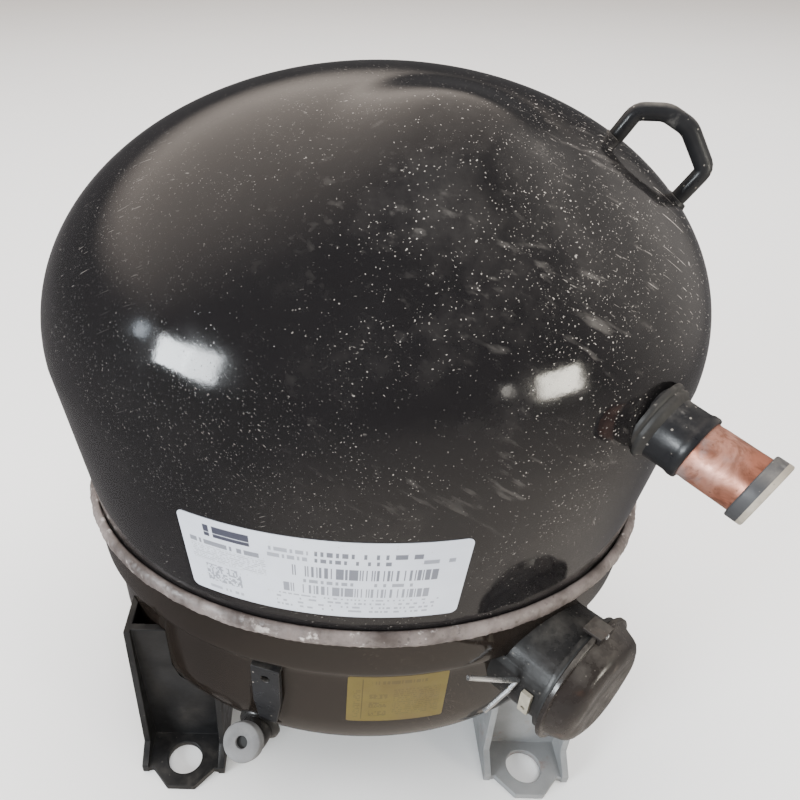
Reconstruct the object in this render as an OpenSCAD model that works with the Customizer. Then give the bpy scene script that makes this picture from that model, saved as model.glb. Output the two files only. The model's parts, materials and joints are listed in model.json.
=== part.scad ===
// Hermetic reciprocating compressor: a welded oval shell on four stamped feet, with a
// spring-hung motor and a two-cylinder horizontal pump inside.
// Origin: centre of the four mounting holes, at the underside of the feet. +Z up, front is -Y.

/* [Shell] */
// Length of the shell along X, across its shoulder
shell_len = 295.4; // [290:0.2:304]
// Width of the shell along Y divided by its length
plan_ratio = 0.83; // [0.82:0.01:0.86]
// Height of the crown above the underside of the feet
top_z = 335; // [333:1:345]
// Height at which the domed top starts
shoulder_z = 228; // [226:1:230]
// Height of the girth weld
seam_z = 141; // [140:0.5:142]
// Height of the flat bottom
base_z = 40; // [38:1:41]
// Sheet thickness of the shell, along X
wall = 3; // [2.5:0.1:3.2]

/* [Feet] */
// Distance between mounting holes, both ways
mount_pitch = 190.5; // [188:0.5:194]
// Diameter of a mounting hole
mount_hole_d = 19; // [16:0.5:20]
// Width of a foot
foot_w = 46; // [44:1:50]
// Sheet thickness of a foot
foot_t = 4; // [3:0.5:5]
// Height of a foot's flanges against the shell
foot_h = 98; // [80:1:104]

/* [Tube stubs] */
// Outside diameter of the copper suction stub
suction_od = 22.2; // [22.2:0.1:22.4]
// Inside diameter of the copper suction stub
suction_id = 19.2; // [19:0.1:19.4]
// Outside diameter of the discharge elbow
discharge_od = 15.9; // [15.9:0.1:16.2]
// Inside diameter of the discharge elbow
discharge_id = 12.8; // [12.7:0.1:12.9]

/* [Pump] */
// Cylinder bore
bore_d = 44; // [43.8:0.1:44.2]
// Radial clearance of a piston in its cylinder
piston_gap = 0.05; // [0.03:0.01:0.08]
// Crank throw, half of the stroke
throw = 8; // [7.9:0.1:8.1]
// Connecting rod length between centres
rod_len = 56; // [55.8:0.1:56.2]
// Angle of the crankpin from +X at rest
crank_rest = 50; // [49.5:0.5:50.5]

/* [Motor] */
// Outside diameter of the stator
stator_d = 164; // [162:1:166]
// Height of the lamination stack
stack_h = 75; // [70:1:76]
// Radial air gap between rotor and stator
air_gap = 0.5; // [0.4:0.1:0.8]

/* [Hidden] */

// Shell outline, as half lengths along X
shoulder_r = shell_len / 2;
seam_r = shoulder_r - 8.6;
skirt_z = seam_z - 14;
rim_r = seam_r + 3.1;
rim_z = seam_z - 2;
rim_bottom_z = seam_z - 24;
body_r = shoulder_r - 10.7;
body_top_z = rim_bottom_z - 5;
facets = 64;
dome_steps = 14;
far = 400;
skin = 0.35;

// Raised round boss on the crown
boss_pos = [22, -55, 320];
boss_out = [0.114, -0.412, 0.905];
boss_r = 70;
boss_depth = 63;

// Lifting handle, as points in its own plane
handle_pos = [91.5, -10, 312];
handle_turn = [0, 36.4, -12.2];
handle_d = 6.5;
handle_path = [[0, -4], [-1.8, 10], [6.8, 16.5], [17, 18], [33.5, 12.5], [35, 0], [35, -4]];

// Suction stub, where it meets the wall and where it points
stub_pos = [103, -87.6, 233];
stub_az = 43;
stub_tilt = 12;
sleeve_out = 16;
stub_out = 36;

// Discharge elbow
elbow_pos = [-50, -105, 56];
elbow_az = -21;
elbow_bend = 50;
elbow_r = 11;
elbow_straight = 3;
elbow_end = 8;

// Terminal box
term_pos = [84, -89.5, 105];
term_az = 42;
box_r = 28;
box_out = 22;
cover_r = 33;
cover_deep = 15;

// Pump: heights of the two cylinders, block ends and stack-up along X
cyl_z = [119, 105];
rod_h = 13;
block_x = 78;
block_y = 34;
block_z0 = 75;
block_z1 = 149;
plate_x = 83;
head_x = 99;
head_half = 29;
bolt_off = 23.5;
crank_case_r = 45;
crown_out = 10;
skirt_in = 14;
pin_r = 5;
ecc_r = 20;
rod_gap = 0.6;
rod_ring = 27;
upper_journal_r = 14;
lower_journal_r = 11;
journal_gap = 0.03;
pin_gap = 0.03;
rod_angle = asin(throw * sin(crank_rest) / rod_len);
pin_x = [
    throw * cos(crank_rest) + rod_len * cos(rod_angle),
    throw * cos(crank_rest) - rod_len * cos(rod_angle)
];
pin_shift = [[0.24, -0.28], [-0.2, -0.23]];
ecc_z = [97, 127];

// Motor
stack_z = 205;
stack_top = stack_z + stack_h;
stator_bore_r = 45;
slot_count = 24;
slot_r = [46.5, 63];
slot_w = 5;
bolt_circle = 76;
rotor_r = stator_bore_r - air_gap;
winding_low = stack_z - 16;
winding_high = stack_top + 18;

// Suspension
spring_at = [64, 22];
spring_z = [52, 71];
spring_r = 9;
spring_wire = 2.4;
spring_turns = 4;

// ---- shared shapes ----

function ellipse_arc(a, c, z0, n) = [for (i = [0:n]) [a * cos(90 * i / n), z0 + c * sin(90 * i / n)]];
function reversed(v) = [for (i = [len(v) - 1:-1:0]) v[i]];
function side_r(z) = seam_r + (shoulder_r - seam_r) * (z - seam_z) / (shoulder_z - seam_z);

// A solid of revolution squeezed to the oval plan. rx is its largest radius.
module oval(rx) {
    resize([2 * rx, 2 * rx * plan_ratio, 0]) rotate_extrude($fn = facets) children();
}

function unit(v) = v / norm(v);
function bend_dir(p, i) =
    i == 0 ? unit(p[1] - p[0])
    : i == len(p) - 1 ? unit(p[i] - p[i - 1])
    : unit(unit(p[i + 1] - p[i]) + unit(p[i] - p[i - 1]));

// A round bar swept along points with mitred corners. across is square to most of its bends.
module bent_bar(points, d, across = [0, 0, 1], sides = 12) {
    last = len(points) - 1;
    rings = [
        for (i = [0:last], k = [0:sides - 1])
        let (
            t = bend_dir(points, i),
            u = unit(cross(t, across)),
            v = cross(u, t),
            miter = i == 0 ? 1 : 1 / (t * unit(points[i] - points[i - 1])),
            a = 360 * k / sides
        )
        points[i] + d / 2 * (miter * cos(a) * u + sin(a) * v)
    ];
    walls = [
        for (i = [0:last - 1], k = [0:sides - 1])
        [i * sides + k, i * sides + (k + 1) % sides, (i + 1) * sides + (k + 1) % sides, (i + 1) * sides + k]
    ];
    ends = [[for (k = [sides - 1:-1:0]) k], [for (k = [0:sides - 1]) last * sides + k]];
    polyhedron(points = rings, faces = concat(walls, ends), convexity = 6);
}

module pipe(ro, ri, z0, z1) {
    difference() {
        translate([0, 0, z0]) cylinder(r = ro, h = z1 - z0, $fn = 64);
        translate([0, 0, z0 - 1]) cylinder(r = ri, h = z1 - z0 + 2, $fn = 64);
    }
}

// Frames on the shell, local +Z pointing straight out of the wall
module at_wall(pos, az, tilt) {
    translate(pos) rotate([0, 90 + tilt, az - 90]) children();
}
module at_stub() at_wall(stub_pos, stub_az, stub_tilt) children();
module at_terminal() at_wall(term_pos, term_az, 0) children();
module at_elbow_end() {
    at_wall(elbow_pos, elbow_az, 0)
    translate([-elbow_r * (1 - cos(elbow_bend)), 0, elbow_straight + elbow_r * sin(elbow_bend)])
    rotate([0, -elbow_bend, 0]) children();
}

// ---- shell ----

function lower_profile(t) = [
    [0, base_z + t], [body_r - 28, base_z + t], [body_r - 17 - t / 2, base_z + 3 + t],
    [body_r - 8 - t * 0.8, base_z + 10 + t * 0.6], [body_r - 2 - t, base_z + 20], [body_r - t, base_z + 30],
    [body_r - t, body_top_z], [rim_r - t, rim_bottom_z], [rim_r - t, rim_z]
];

module lower_solid() {
    oval(rim_r) polygon(concat(lower_profile(0), [[0, rim_z]]));
}

module lower_shell() {
    color("#2b2623")
    difference() {
        oval(rim_r) polygon(concat(lower_profile(0), reversed(lower_profile(wall))));
        at_terminal() cylinder(r = 17.5, h = 50, center = true, $fn = 64);
        at_wall(elbow_pos, elbow_az, 0) cylinder(d = discharge_od + 0.1, h = 40, center = true, $fn = 48);
    }
}

function upper_profile(t) = concat(
    [[side_r(skirt_z) - t, skirt_z]],
    ellipse_arc(shoulder_r - t, top_z - shoulder_z - t, shoulder_z, dome_steps)
);

module boss_ball(t) {
    translate(boss_pos - boss_depth * boss_out) sphere(r = boss_r - t, $fn = 64);
}

module upper_shell() {
    color("#1a1a1c")
    difference() {
        union() {
            oval(shoulder_r) polygon(concat(upper_profile(0), [[0, skirt_z]]));
            boss_ball(0);
        }
        oval(shoulder_r - wall) polygon(concat([[0, skirt_z - 5], [side_r(skirt_z) - wall, skirt_z - 5]],
            upper_profile(wall)));
        boss_ball(wall);
        at_stub() cylinder(d = suction_od + 3.3, h = 60, center = true, $fn = 64);
    }
}

module weld_bead() {
    color("#8a8079")
    oval(seam_r + 6) polygon([
        [side_r(rim_z) + 0.05, rim_z], [rim_r + 1.8, rim_z], [seam_r + 6, rim_z + 2.5],
        [seam_r + 5.2, rim_z + 5.5], [seam_r + 2.9, rim_z + 7.8], [side_r(rim_z + 8) + 0.05, rim_z + 8]
    ]);
}

// ---- feet ----

// The rear right foot in place; the others mirror it
module foot() {
    half = foot_w / 2;
    difference() {
        translate([mount_pitch / 2, mount_pitch / 2, 0]) {
            linear_extrude(foot_t) polygon([
                [-half, -45], [-half, 7], [-17, 6], [-7.5, 16.5], [7.5, 16.5], [17, 6], [half, 7], [half, -45]
            ]);
            translate([-half, -19, 0]) cube([foot_w, foot_t, foot_h]);
            for (x = [-half, half - foot_t + 0.5]) {
                translate([x, 0, 0]) rotate([90, 0, 90]) linear_extrude(foot_t - 0.5) polygon([
                    [-45, 0], [7, 0], [7, foot_t + 2], [-4, 13], [-13, foot_h], [-45, foot_h]
                ]);
            }
        }
        translate([mount_pitch / 2, mount_pitch / 2, -1]) cylinder(d = mount_hole_d, h = foot_t + 2, $fn = 64);
        lower_solid();
    }
}
module foot_rear_right() {
    color("#5c5f60") foot();
}
module foot_rear_left() {
    color("#3a3a3a") mirror([1, 0, 0]) foot();
}
module foot_front_right() {
    color("#7d8080") difference() {
        mirror([0, 1, 0]) foot();
        at_terminal() translate([0, 0, -18]) cylinder(r = box_r + 0.3, h = 60, $fn = 64);
    }
}
module foot_front_left() {
    color("#3a3a3a") mirror([1, 0, 0]) mirror([0, 1, 0]) foot();
}

// ---- handle and stubs ----

module lifting_handle() {
    color("#111111")
    translate(handle_pos) rotate(handle_turn)
    bent_bar([for (p = handle_path) [p[0], 0, p[1]]], handle_d, [0, 1, 0]);
}

module suction_sleeve() {
    color("#151515")
    at_stub() difference() {
        union() {
            translate([0, 0, -8]) cylinder(d = suction_od + 3.2, h = sleeve_out + 8, $fn = 64);
            translate([0, 0, -1]) cylinder(d1 = suction_od + 9, d2 = suction_od + 3.2, h = 4, $fn = 64);
            translate([0, 0, sleeve_out - 3]) cylinder(d = suction_od + 4.4, h = 3, $fn = 64);
        }
        cylinder(d = suction_od, h = far, center = true, $fn = 64);
    }
}

module suction_stub() {
    color("#b87858")
    at_stub() pipe(suction_od / 2, suction_id / 2, -14, stub_out + 3.5);
}

// Soft cap pushed over the end of a tube of outside diameter d
module tube_cap(d, grip, end_wall, outer_d) {
    difference() {
        union() {
            translate([0, 0, -grip]) cylinder(d = outer_d, h = grip + end_wall - 0.8, $fn = 64);
            translate([0, 0, end_wall - 0.8]) cylinder(d1 = outer_d, d2 = outer_d - 1.6, h = 0.8, $fn = 64);
        }
        translate([0, 0, -grip - 1]) cylinder(d = d + 0.6, h = grip + 1.4, $fn = 64);
    }
}

module suction_plug() {
    color("#b5b0a0")
    at_stub() translate([0, 0, stub_out + 3.5]) tube_cap(suction_od, 3.5, 3, suction_od + 3.4);
}

// The elbow's centreline in the frame of the wall, then straight on past the bend
elbow_path = concat(
    [[0, 0, -16], [0, 0, elbow_straight]],
    [for (i = [1:6]) let (a = elbow_bend * i / 6) [-elbow_r * (1 - cos(a)), 0, elbow_straight + elbow_r * sin(a)]]
);
elbow_tip = elbow_path[7] + elbow_end * [-sin(elbow_bend), 0, cos(elbow_bend)];

module discharge_elbow() {
    color("#2f3133")
    difference() {
        at_wall(elbow_pos, elbow_az, 0) bent_bar(concat(elbow_path, [elbow_tip]), discharge_od, [0, 1, 0], 32);
        at_wall(elbow_pos, elbow_az, 0)
        bent_bar(concat([[0, 0, -17]], elbow_path), discharge_id - 0.5, [0, 1, 0], 24);
        at_elbow_end() translate([0, 0, -0.5]) cylinder(d = discharge_id, h = elbow_end + 1, $fn = 48);
    }
}

module discharge_plug() {
    color("#77787a")
    at_elbow_end() translate([0, 0, elbow_end]) difference() {
        tube_cap(discharge_od, 4, 3, discharge_od + 3);
        cylinder(d = 6, h = 10, $fn = 32);
    }
}

module tube_bracket() {
    color("#181818")
    at_wall([-43.5, -108.7, 92], -17.5, 0) difference() {
        union() {
            linear_extrude(3) polygon([[-20, -7], [-20, 7], [6, 7], [22, 4.5], [22, -4.5], [6, -7]]);
            translate([-20, -7, -8]) cube([3, 14, 11]);
        }
        translate([-12, 0, -1]) cylinder(d = 4.5, h = 6, $fn = 32);
    }
}

// ---- electrical box ----

module terminal_box() {
    color("#232120")
    difference() {
        at_terminal() {
            translate([0, 0, -15]) cylinder(r = box_r, h = 15 + box_out, $fn = 64);
            translate([0, 0, box_out - 2]) cylinder(r = cover_r - 2.5, h = 2, $fn = 64);
        }
        at_terminal() translate([0, 0, -20]) cylinder(r = box_r - 2, h = 20 + box_out + 1, $fn = 64);
        lower_solid();
    }
}

module terminal_gasket() {
    color("#0c0c0c")
    at_terminal() pipe(cover_r - 2.5, box_r - 1, box_out, box_out + 1.2);
}

module hermetic_terminal() {
    color("#6d6a66")
    at_terminal() difference() {
        union() {
            translate([0, 0, -6]) cylinder(r = 17.4, h = 8, $fn = 64);
            translate([0, 0, 2]) cylinder(r = 20, h = 1.5, $fn = 64);
        }
        translate([0, 0, -4]) cylinder(r = 14, h = 20, $fn = 64);
        for (a = [90, 210, 330]) rotate(a) translate([7, 0, -10]) cylinder(r = 1.6, h = 10, $fn = 24);
    }
}

module terminal_pins() {
    color("#c9a24a")
    at_terminal() for (a = [90, 210, 330]) rotate(a) translate([7, 0, -12]) cylinder(r = 1.6, h = 26, $fn = 24);
}

module ground_terminal() {
    color("#c8b48a")
    at_terminal() rotate(-86) difference() {
        translate([box_r - 0.4, -7, 12]) cube([2.4, 14, 5]);
        translate([box_r - 1, 3.5, 14.5]) rotate([0, 90, 0]) cylinder(d = 2.2, h = 6, $fn = 24);
    }
}

module bail_wire() {
    color("#8f8f8c")
    at_terminal() bent_bar([
        [-21, -53, -2], [-13, -38, 5], [-7, -box_r - 0.1, 8], [-2, -box_r - 4, 7], [10, -box_r - 13, 3]
    ], 2.4);
}

module terminal_cover() {
    color("#3b3431")
    at_terminal() difference() {
        union() {
            translate([0, 0, box_out + 1.2]) cylinder(r = cover_r, h = 2.5, $fn = 64);
            translate([0, 0, box_out + 3.7]) cylinder(r1 = cover_r - 2, r2 = cover_r - 6, h = cover_deep - 6, $fn = 64);
            translate([0, 0, box_out + cover_deep - 2.3])
            cylinder(r1 = cover_r - 6, r2 = cover_r - 16, h = 3.5, $fn = 64);
        }
        translate([0, 0, box_out]) cylinder(r1 = cover_r - 4.5, r2 = cover_r - 8.5, h = cover_deep - 3, $fn = 64);
    }
}

module cover_clips() {
    color("#4a403b")
    at_terminal() for (a = [0, 180]) rotate(a) {
        translate([cover_r + 0.1, -5, box_out - 3.5]) cube([1.6, 10, 9]);
        translate([cover_r - 2.1, -5, box_out + 3.8]) cube([3.8, 10, 1.8]);
    }
}

// ---- labels ----

module label_patch(a0, a1, z0, z1, r0, r1) {
    intersection() {
        oval(max(r0, r1) + skin) polygon([
            [r0 + 0.02, z0], [r0 + skin, z0], [r1 + skin, z1], [r1 + 0.02, z1]
        ]);
        linear_extrude(far) polygon([
            [0, 0], [far * sin(a0), -plan_ratio * far * cos(a0)], [far * sin(a1), -plan_ratio * far * cos(a1)]
        ]);
    }
}

module rating_label() {
    color("#e4e8f2") label_patch(-31.2, 14.7, 156, 201.5, side_r(156), side_r(201.5));
}
module notice_label() {
    color("#9a8a3c") label_patch(-2.8, 16.7, 76, 111, body_r, body_r);
}

// ---- suspension ----

module at_springs() {
    for (x = [-1, 1], y = [-1, 1]) translate([x * spring_at[0], y * spring_at[1], 0]) children();
}

module spring_studs() {
    color("#4b4b4b")
    at_springs() {
        translate([0, 0, base_z + wall]) cylinder(r = spring_r + 3, h = spring_z[0] - base_z - wall, $fn = 40);
        translate([0, 0, spring_z[0]]) cylinder(r = spring_r - 2.6, h = 5, $fn = 40);
    }
}

module spring_cups() {
    color("#6a6a6a")
    at_springs() {
        translate([0, 0, spring_z[1]]) cylinder(r = spring_r + 3, h = block_z0 - spring_z[1], $fn = 40);
        translate([0, 0, spring_z[1] - 5]) cylinder(r = spring_r - 2.6, h = 5, $fn = 40);
    }
}

// A helix swept with a six-sided wire
module coil(r, wire, z0, z1, turns) {
    per_turn = 14;
    rings = turns * per_turn;
    sides = 6;
    rise = z1 - z0 - wire;
    points = [
        for (i = [0:rings], k = [0:sides - 1])
        let (a = 360 * i / per_turn, b = 360 * k / sides, rr = r + wire / 2 * cos(b))
        [rr * cos(a), rr * sin(a), z0 + wire / 2 + rise * i / rings + wire / 2 * sin(b)]
    ];
    walls = [
        for (i = [0:rings - 1], k = [0:sides - 1])
        [i * sides + k, i * sides + (k + 1) % sides, (i + 1) * sides + (k + 1) % sides, (i + 1) * sides + k]
    ];
    ends = [[for (k = [sides - 1:-1:0]) k], [for (k = [0:sides - 1]) rings * sides + k]];
    polyhedron(points = points, faces = concat(walls, ends), convexity = 10);
}

module suspension_springs() {
    color("#b9bcc0")
    at_springs() coil(spring_r, spring_wire, spring_z[0], spring_z[1], spring_turns);
}

// ---- pump ----

// Runs its children in the frame of cylinder i, local +Z pointing outwards along the bore
module at_cylinder(i) {
    translate([0, 0, cyl_z[i]]) rotate([0, i == 0 ? 90 : -90, 0]) children();
}

module at_head_bolts(i) {
    at_cylinder(i) for (a = [-1, 1], b = [-1, 1]) translate([a * bolt_off, b * bolt_off, 0]) children();
}

module crankcase() {
    color("#6f7478")
    difference() {
        union() {
            translate([-block_x, -block_y, block_z0]) cube([2 * block_x, 2 * block_y, block_z1 - block_z0]);
            translate([0, 0, block_z0]) cylinder(r = 56, h = block_z1 - block_z0, $fn = 96);
            translate([0, 0, block_z1]) cylinder(r = 24, h = 38, $fn = 64);
        }
        translate([0, 0, block_z0 + 4]) cylinder(r = crank_case_r, h = block_z1 - block_z0 - 10, $fn = 96);
        translate([0, 0, block_z0 - 1]) cylinder(r = crank_case_r, h = 10, $fn = 96);
        translate([0, 0, block_z1 - 10]) cylinder(r = upper_journal_r + 3, h = 60, $fn = 64);
        for (i = [0, 1]) at_cylinder(i) cylinder(d = bore_d, h = block_x + 1, $fn = 96);
        for (i = [0, 1]) at_head_bolts(i) translate([0, 0, block_x - 15]) cylinder(r = 3, h = 20, $fn = 24);
    }
}

module bearing_bushes() {
    color("#b08a4a") {
        pipe(upper_journal_r + 3, upper_journal_r + journal_gap, block_z1 - 6, block_z1 + 38);
        pipe(lower_journal_r + 2.5, lower_journal_r + journal_gap, 66, 92);
    }
}

module lower_bearing_plate() {
    color("#7c8185")
    difference() {
        union() {
            translate([0, 0, 69]) cylinder(r = 54, h = block_z0 - 69, $fn = 96);
            translate([0, 0, block_z0]) cylinder(r = crank_case_r - 0.1, h = 4, $fn = 96);
            translate([0, 0, 64]) cylinder(r = 18, h = 28, $fn = 64);
        }
        translate([0, 0, 60]) cylinder(r = lower_journal_r + 2.5, h = 40, $fn = 64);
    }
}

module valve_plate(i) {
    color("#9aa0a4")
    at_cylinder(i) difference() {
        translate([-head_half, -head_half, block_x]) cube([2 * head_half, 2 * head_half, plate_x - block_x]);
        for (a = [0:60:300]) rotate(a) translate([7, 0, 0]) cylinder(r = 2.2, h = far, $fn = 24);
        for (a = [-1, 1], b = [-1, 1]) translate([a * bolt_off, b * bolt_off, 0]) cylinder(r = 3.2, h = far, $fn = 24);
    }
}
module valve_plate_right() valve_plate(0);
module valve_plate_left() valve_plate(1);

module cylinder_head(i) {
    color("#595e62")
    at_cylinder(i) difference() {
        translate([-head_half, -head_half, plate_x]) cube([2 * head_half, 2 * head_half, head_x - plate_x]);
        translate([0, 0, plate_x - 1]) cylinder(r = 20, h = 13, $fn = 64);
        for (a = [-1, 1], b = [-1, 1]) translate([a * bolt_off, b * bolt_off, 0]) cylinder(r = 3.2, h = far, $fn = 24);
        translate([0, 0, plate_x + 6]) rotate([-90, 0, 0]) cylinder(r = 4, h = 60, $fn = 32);
    }
}
module cylinder_head_right() cylinder_head(0);
module cylinder_head_left() cylinder_head(1);

module head_bolts() {
    color("#3d3f42")
    for (i = [0, 1]) at_head_bolts(i) {
        translate([0, 0, head_x]) cylinder(r = 5, h = 4, $fn = 6);
        translate([0, 0, block_x - 13]) cylinder(r = 2.95, h = head_x - block_x + 13, $fn = 24);
    }
}

module discharge_muffler() {
    color("#85664b")
    difference() {
        union() {
            translate([0, 76, 84]) cylinder(r = 19, h = 56, $fn = 64);
            translate([0, 76, 140]) cylinder(r1 = 19, r2 = 9, h = 6, $fn = 64);
            for (s = [0, 1]) {
                x = (s == 0 ? 1 : -1) * (plate_x + 6);
                bent_bar([[x, head_half + 0.3, cyl_z[s]], [x, 62, cyl_z[s]], [0, 76, cyl_z[s]]], 7.9);
            }
        }
        translate([0, 76, 86]) cylinder(r = 17.5, h = 52, $fn = 64);
    }
}

module discharge_loop() {
    color("#a06f4c")
    difference() {
        bent_bar([
            [-19.3, 76, 92], [-52, 74, 92], [-88, 52, 92], [-110, 20, 92], [-110, -20, 92],
            [-92, -56, 86], [-68, -74, 72],
            [elbow_pos[0] - 16.6 * sin(elbow_az), elbow_pos[1] + 16.6 * cos(elbow_az), elbow_pos[2]]
        ], 8);
        at_wall(elbow_pos, elbow_az, 0) translate([0, 0, -16.2]) cylinder(d = 20, h = 20, $fn = 48);
    }
}

// ---- crank train ----

module crankshaft() {
    color("#a7adb2")
    difference() {
        union() {
            translate([0, 0, 60]) cylinder(r = lower_journal_r, h = ecc_z[1] - 50, $fn = 64);
            rotate(crank_rest) translate([throw, 0, ecc_z[0]]) cylinder(r = ecc_r, h = ecc_z[1] - ecc_z[0], $fn = 96);
            translate([0, 0, ecc_z[1]]) cylinder(r = upper_journal_r, h = stack_top + 8 - ecc_z[1], $fn = 64);
        }
        translate([0, 0, 59]) cylinder(r = 6.5, h = 12, $fn = 48);
        translate([0, 0, 59]) cylinder(r = 2.5, h = 100, $fn = 24);
    }
}

// Sector weights opposite the crankpin: one under the main bearing, one on the rotor
module counterweights() {
    color("#55595d")
    rotate(crank_rest + 180) {
        difference() {
            translate([0, 0, ecc_z[1] + 1]) intersection() {
                cylinder(r = 37, h = 13, $fn = 96);
                translate([-16, -50, 0]) cube([60, 100, 13]);
            }
            translate([0, 0, 100]) cylinder(r = upper_journal_r, h = 60, $fn = 64);
        }
        difference() {
            translate([0, 0, stack_top + 7]) intersection() {
                cylinder(r = 42, h = 8, $fn = 96);
                translate([0, -50, 0]) cube([60, 100, 8]);
            }
            translate([0, 0, stack_top]) cylinder(r = 26, h = 30, $fn = 64);
        }
    }
}

module oil_pickup() {
    color("#9c9c9c") pipe(6.5, 5, 48, 71);
}

module rotor_core() {
    color("#7f8387") pipe(rotor_r, upper_journal_r, stack_z, stack_top);
}

module rotor_end_rings() {
    color("#c5c8cb") {
        pipe(rotor_r - 2, 26, stack_z - 7, stack_z);
        pipe(rotor_r - 2, 26, stack_top, stack_top + 7);
    }
}

module piston(i) {
    s = i == 0 ? 1 : -1;
    color("#b4b8bb")
    difference() {
        at_cylinder(i) translate([0, 0, s * pin_x[i] - skirt_in])
        cylinder(r = bore_d / 2 - piston_gap, h = skirt_in + crown_out, $fn = 96);
        translate([s > 0 ? pin_x[i] - skirt_in - 1 : pin_x[i] - 8, -14, cyl_z[i] - 7.5]) cube([skirt_in + 9, 28, 15]);
        translate([pin_x[i], 0, cyl_z[i] - 30]) cylinder(r = pin_r, h = 60, $fn = 48);
        for (a = [30:60:330]) at_cylinder(i) rotate(a) translate([10, 0, s * pin_x[i]]) cylinder(r = 2, h = 20, $fn = 24);
    }
}
module piston_right() piston(0);
module piston_left() piston(1);

module wrist_pin(i) {
    color("#d5d8da") translate([pin_x[i], 0, cyl_z[i] - 19]) cylinder(r = pin_r, h = 38, $fn = 48);
}
module wrist_pin_right() wrist_pin(0);
module wrist_pin_left() wrist_pin(1);

// A rod drawn along the line from its wrist pin to the crankpin
module connecting_rod(i) {
    h = rod_h - 0.6;
    color("#8d9296")
    translate([pin_x[i], 0, cyl_z[i] - h / 2])
    mirror([i == 0 ? 1 : 0, 0, 0]) rotate(rod_angle)
    difference() {
        union() {
            cylinder(r = 7.5, h = h, $fn = 64);
            translate([0, -6, 2]) cube([rod_len - 22, 12, h - 4]);
            translate([rod_len, 0, 0]) cylinder(r = rod_ring, h = h, $fn = 96);
        }
        translate([0, 0, -1]) cylinder(r = pin_r + pin_gap, h = h + 2, $fn = 64);
        translate([rod_len + pin_shift[i][0], pin_shift[i][1], -1])
        cylinder(r = ecc_r + rod_gap, h = h + 2, $fn = 96);
    }
}
module connecting_rod_right() connecting_rod(0);
module connecting_rod_left() connecting_rod(1);

// Ring valve on the crown, held by a shouldered screw
module suction_valve(i) {
    s = i == 0 ? 1 : -1;
    color("#c8cdd0")
    at_cylinder(i) translate([0, 0, s * pin_x[i] + crown_out + 0.05]) cylinder(r = 14, h = 0.9, $fn = 64);
}
module suction_valve_right() suction_valve(0);
module suction_valve_left() suction_valve(1);

module discharge_valve(i) {
    color("#c8cdd0")
    at_cylinder(i) translate([0, 0, plate_x + 0.05]) cylinder(r = 12, h = 0.9, $fn = 64);
}
module discharge_valve_right() discharge_valve(0);
module discharge_valve_left() discharge_valve(1);

// ---- motor ----

module at_motor_bolts() {
    for (a = [45:90:315]) rotate(a) translate([bolt_circle, 0, 0]) children();
}

module motor_frame() {
    color("#6a6f73")
    difference() {
        union() {
            translate([0, 0, block_z1]) cylinder(r = 56, h = 7, $fn = 96);
            for (a = [45:90:315]) rotate(a) translate([0, -9, block_z1]) cube([bolt_circle, 18, 7]);
            at_motor_bolts() translate([0, 0, block_z1]) cylinder(r = 6, h = stack_z - block_z1, $fn = 48);
        }
        translate([0, 0, block_z1 - 1]) cylinder(r = 24, h = 20, $fn = 64);
        at_motor_bolts() translate([0, 0, block_z1 + 16]) cylinder(r = 3, h = 60, $fn = 24);
    }
}

module stator_core() {
    color("#4f5457")
    difference() {
        translate([0, 0, stack_z]) cylinder(d = stator_d, h = stack_h, $fn = 128);
        translate([0, 0, stack_z - 1]) cylinder(r = stator_bore_r, h = stack_h + 2, $fn = 128);
        for (k = [0:slot_count - 1]) rotate(360 * k / slot_count) translate([slot_r[0], -slot_w / 2, stack_z - 1])
        cube([slot_r[1] - slot_r[0], slot_w, stack_h + 2]);
        at_motor_bolts() translate([0, 0, stack_z - 1]) cylinder(r = 3.2, h = stack_h + 2, $fn = 24);
    }
}

module stator_winding() {
    color("#b5632f") {
        pipe(69, 47, winding_low, stack_z - 1);
        pipe(69, 47, stack_top + 1, winding_high);
        for (k = [0:slot_count - 1]) rotate(360 * k / slot_count)
        translate([slot_r[0] + 0.8, -slot_w / 2 + 0.3, stack_z - 3])
        cube([slot_r[1] - slot_r[0] - 1.2, slot_w - 0.6, stack_h + 6]);
    }
}

module motor_bolts() {
    color("#34363a")
    at_motor_bolts() {
        translate([0, 0, stack_z - 30]) cylinder(r = 2.95, h = stack_h + 30, $fn = 24);
        translate([0, 0, stack_top]) cylinder(r = 5, h = 4, $fn = 6);
    }
}

module cap_shape(t) {
    translate([0, 0, stack_top]) cylinder(r = 70.9 - t, h = 20 - t, $fn = 96);
    translate([0, 0, stack_top + 20 - t]) cylinder(r1 = 70.9 - t, r2 = 60 - t, h = 8, $fn = 96);
}
module motor_cap() {
    color("#707070")
    difference() {
        cap_shape(0);
        translate([0, 0, -0.01]) cap_shape(1.5);
        translate([30, 0, stack_top]) cylinder(r = 9, h = 60, $fn = 48);
    }
}

module motor_protector() {
    color("#2a4a7a") translate([-8, 48, stack_top + 28]) cube([16, 12, 6]);
}

module motor_leads() {
    color("#a83a2c")
    for (k = [-1:1]) translate([k * 4, k * 4, 0]) bent_bar([
        [60, -28, winding_low + 2], [82, -44, 178], [84, -66, 155], [75, -77, 130], [74, -78, 118]
    ], 3, [1, 1, 0]);
}

module cluster_block() {
    color("#d8d2c0")
    at_terminal() difference() {
        translate([-12, -12, -22]) cube([24, 24, 14]);
        for (a = [90, 210, 330]) rotate(a) translate([7, 0, -14]) cylinder(r = 1.7, h = 10, $fn = 24);
    }
}

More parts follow.
